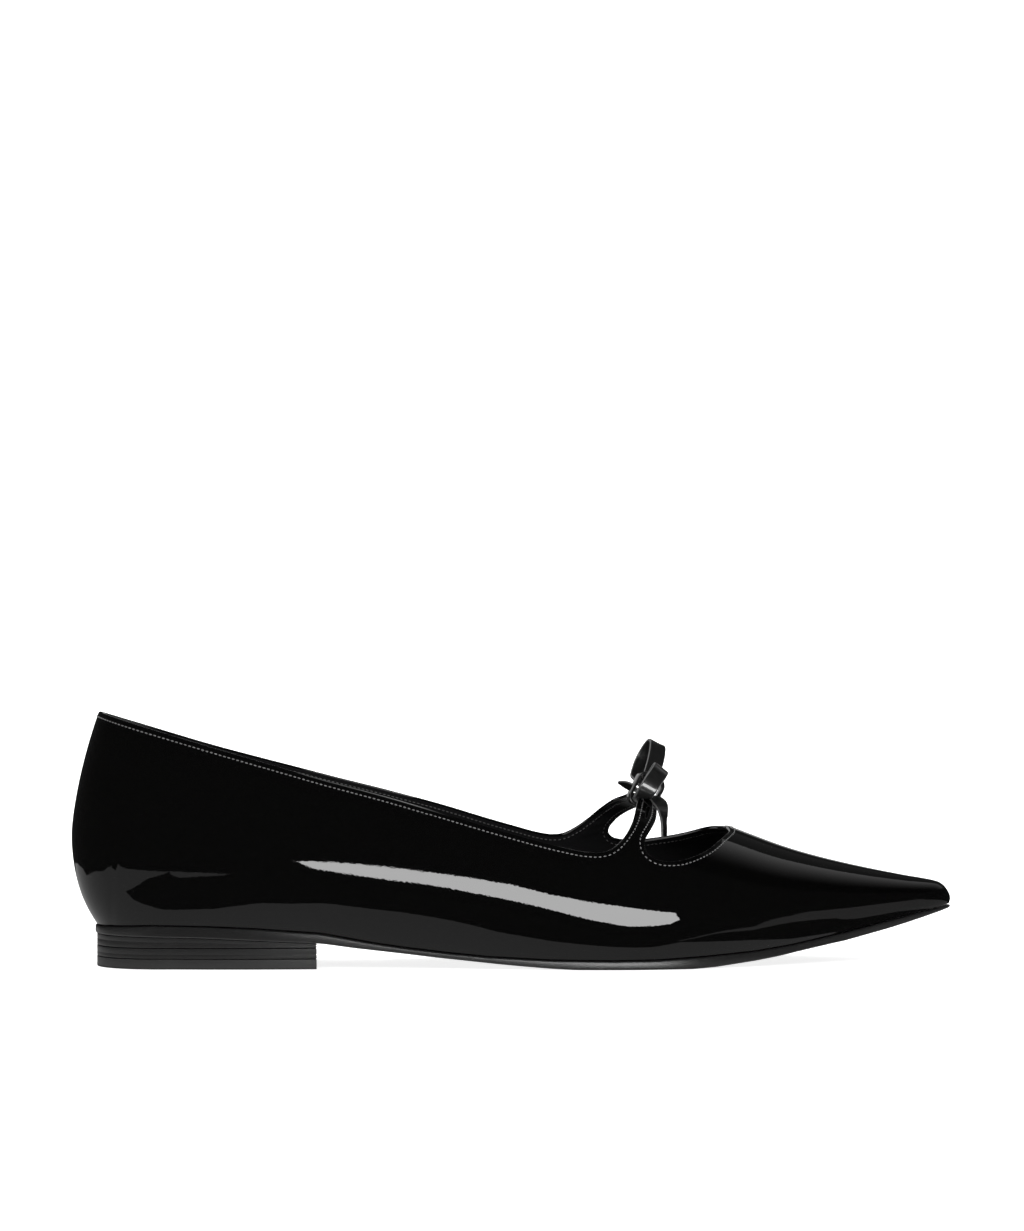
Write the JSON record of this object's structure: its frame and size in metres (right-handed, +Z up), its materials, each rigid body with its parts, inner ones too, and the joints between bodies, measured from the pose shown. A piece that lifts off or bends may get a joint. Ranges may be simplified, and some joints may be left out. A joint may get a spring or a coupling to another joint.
{
  "type": "pointed toe flat shoe",
  "caption": "Right-foot pointed toe flat in black patent leather with a low stacked heel, straps meeting over the instep and a small ribbon bow.",
  "frame": {"origin": "middle of the shoe's outline, on the plane it stands on", "axes": "+X toward the toe, +Z up, -Y the outer side of the foot"},
  "size_m": [0.2686, 0.0764, 0.0759],
  "materials": {
    "patent_leather": "black patent, mirror gloss",
    "ribbon_leather": "black patent ribbon, glossy",
    "insole_leather": "dark grey sock leather, matt",
    "sole_leather": "black edge-dyed sole leather, satin",
    "heel_stack": "black stacked leather lifts, satin",
    "heel_rubber": "black hard rubber, matt"
  },
  "bodies": {
    "root": {"upper": "patent_leather", "insole": "insole_leather", "outsole": "sole_leather", "heel_lift_upper": "heel_stack", "heel_lift_lower": "heel_stack", "heel_top_piece": "heel_rubber", "bow_loops": "ribbon_leather", "bow_tails": "ribbon_leather", "bow_knot": "ribbon_leather"}
  },
  "joints": []
}
